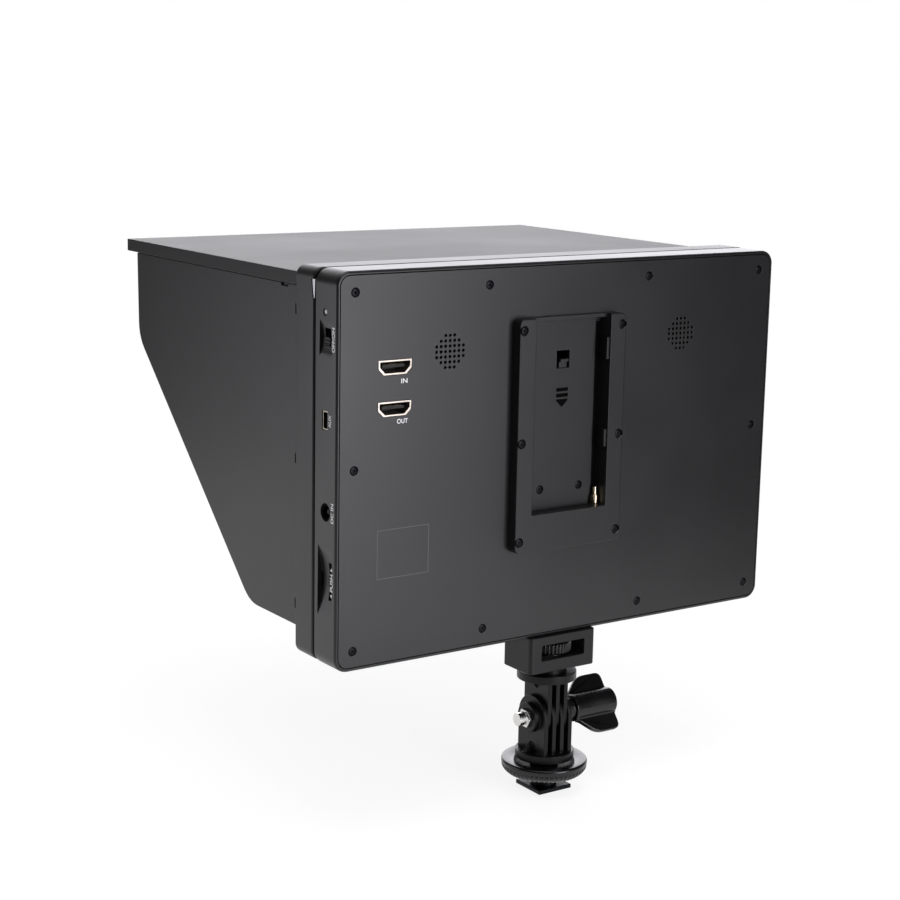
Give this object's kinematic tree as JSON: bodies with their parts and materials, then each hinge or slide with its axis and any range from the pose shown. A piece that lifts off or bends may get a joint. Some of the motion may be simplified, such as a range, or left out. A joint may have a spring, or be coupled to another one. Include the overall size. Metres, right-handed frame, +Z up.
{
  "type": "camera field monitor with sun hood",
  "caption": "Flat field monitor with a folding sun hood round its screen and a battery plate behind, on a tilting, swivelling shoe adapter.",
  "frame": {"origin": "centre of the shoe foot's underside, which is also the line of the swivel axis", "axes": "+Z up out of the shoe, the screen faces -Y, the back faces +Y, the side controls face +X"},
  "size_m": [0.2424, 0.2135, 0.249],
  "materials": {
    "shell_black": "satin, fine moulded texture",
    "cover_black": "satin, fine moulded texture",
    "hood_black": "satin, fine moulded texture",
    "plate_black": "satin",
    "fork_black": "satin, glass filled",
    "knob_black": "satin",
    "block_black": "satin",
    "foot_black": "black anodised",
    "control_black": "satin",
    "screw_black": "black oxide",
    "steel": "bright",
    "zinc": "zinc plated",
    "brass_bush": "turned",
    "gold_contact": "gold plated",
    "socket_metal": "nickel plated",
    "screen_glass": "polished, over a dark panel",
    "panel_dark": "dark polariser",
    "diffuser_white": "milky",
    "bracket_metal": "pressed sheet",
    "board_green": "solder mask",
    "cable_tan": "flat film",
    "connector_black": "moulded",
    "speaker_dark": "cone and basket",
    "foam_black": "closed foam",
    "lamp_clear": "clear lens"
  },
  "bodies": {
    "base": {"shoe_foot": "foot_black", "fork_base": "fork_black", "cap_nut": "steel"},
    "ring": {"lock_ring": "fork_black"},
    "knob": {"wing_knob": "knob_black", "tilt_bolt": "steel"},
    "head": {"tilt_head": "fork_black", "swivel_washer": "zinc", "swivel_screw": "zinc"},
    "monitor": {"adapter_block": "block_black", "tripod_bush": "brass_bush", "mid_housing": "shell_black", "rear_cover": "cover_black", "cover_screws": "screw_black", "front_bezel": "cover_black", "bezel_screws": "zinc", "cover_glass": "screen_glass", "display_panel": "panel_dark", "backlight": "diffuser_white", "panel_bracket": "bracket_metal", "main_board": "board_green", "io_board": "board_green", "display_cable": "cable_tan", "video_in_socket": "socket_metal", "video_out_socket": "socket_metal", "video_tongues": "connector_black", "data_socket": "socket_metal", "power_inlet": "connector_black", "inlet_pin": "steel", "right_speaker": "speaker_dark", "left_speaker": "speaker_dark", "speaker_gaskets": "foam_black", "switch_body": "zinc", "dial_base": "zinc", "status_lamp": "lamp_clear", "battery_plate": "plate_black", "plate_screws": "screw_black", "floor_screws": "screw_black", "contact_block": "connector_black", "battery_contacts": "gold_contact", "catch_pin": "steel", "hood_frame": "hood_black", "hood_screws": "zinc", "hood_clips": "steel", "lid_pins": "steel", "flap_pins": "steel"},
    "mount_screw": {"thumbwheel": "knob_black", "tripod_screw": "steel"},
    "lid": {"hood_lid": "hood_black"},
    "flap_right": {"right_flap": "hood_black"},
    "flap_left": {"left_flap": "hood_black"},
    "power_switch": {"switch_knob": "control_black"},
    "dial_push_body": {"dial_carrier": "control_black"},
    "dial": {"dial_wheel": "control_black"},
    "catch": {"battery_catch": "plate_black"}
  },
  "joints": [
    {"name": "lock_ring_spin", "type": "hinge", "parent": "base", "child": "ring", "pos_m": [0, 0, 0.0111], "axis": [0, 0, 1], "continuous": true},
    {"name": "wing_knob_spin", "type": "hinge", "parent": "base", "child": "knob", "pos_m": [-0.0244, 0, 0.0355], "axis": [1, 0, 0], "continuous": true},
    {"name": "tilt", "type": "hinge", "parent": "base", "child": "head", "pos_m": [0, 0, 0.0355], "axis": [1, 0, 0], "range_deg": [-90, 90]},
    {"name": "pan", "type": "hinge", "parent": "head", "child": "monitor", "pos_m": [0, 0, 0.0604], "axis": [0, 0, 1], "continuous": true},
    {"name": "thumbwheel_spin", "type": "hinge", "parent": "monitor", "child": "mount_screw", "pos_m": [0, 0, 0.0698], "axis": [0, 0, 1], "continuous": true},
    {"name": "lid_hinge", "type": "hinge", "parent": "monitor", "child": "lid", "pos_m": [0, -0.02685, 0.24295], "axis": [-1, 0, 0], "range_deg": [0, 90]},
    {"name": "right_flap_hinge", "type": "hinge", "parent": "monitor", "child": "flap_right", "pos_m": [0.1169, -0.0258, 0.1647], "axis": [0, 0, -1], "range_deg": [0, 90]},
    {"name": "left_flap_hinge", "type": "hinge", "parent": "monitor", "child": "flap_left", "pos_m": [-0.1169, -0.0258, 0.1647], "axis": [0, 0, 1], "range_deg": [0, 90]},
    {"name": "power_switch_slide", "type": "slide", "parent": "monitor", "child": "power_switch", "axis": [0, 0, 1], "range_m": [0, 0.0032]},
    {"name": "dial_push", "type": "slide", "parent": "monitor", "child": "dial_push_body", "axis": [-1, 0, 0], "range_m": [0, 0.0008], "stiffness_N_per_m": 600, "springref_m": -0.0005},
    {"name": "dial_turn", "type": "hinge", "parent": "dial_push_body", "child": "dial", "pos_m": [0.1108, 0.004, 0.11635], "axis": [0, 1, 0], "continuous": true},
    {"name": "battery_catch_tilt", "type": "hinge", "parent": "monitor", "child": "catch", "pos_m": [0.0022, 0.005, 0.1975], "axis": [1, 0, 0], "range_deg": [0, 15], "stiffness_Nm_per_rad": 0.05, "springref_deg": -11.46}
  ]
}
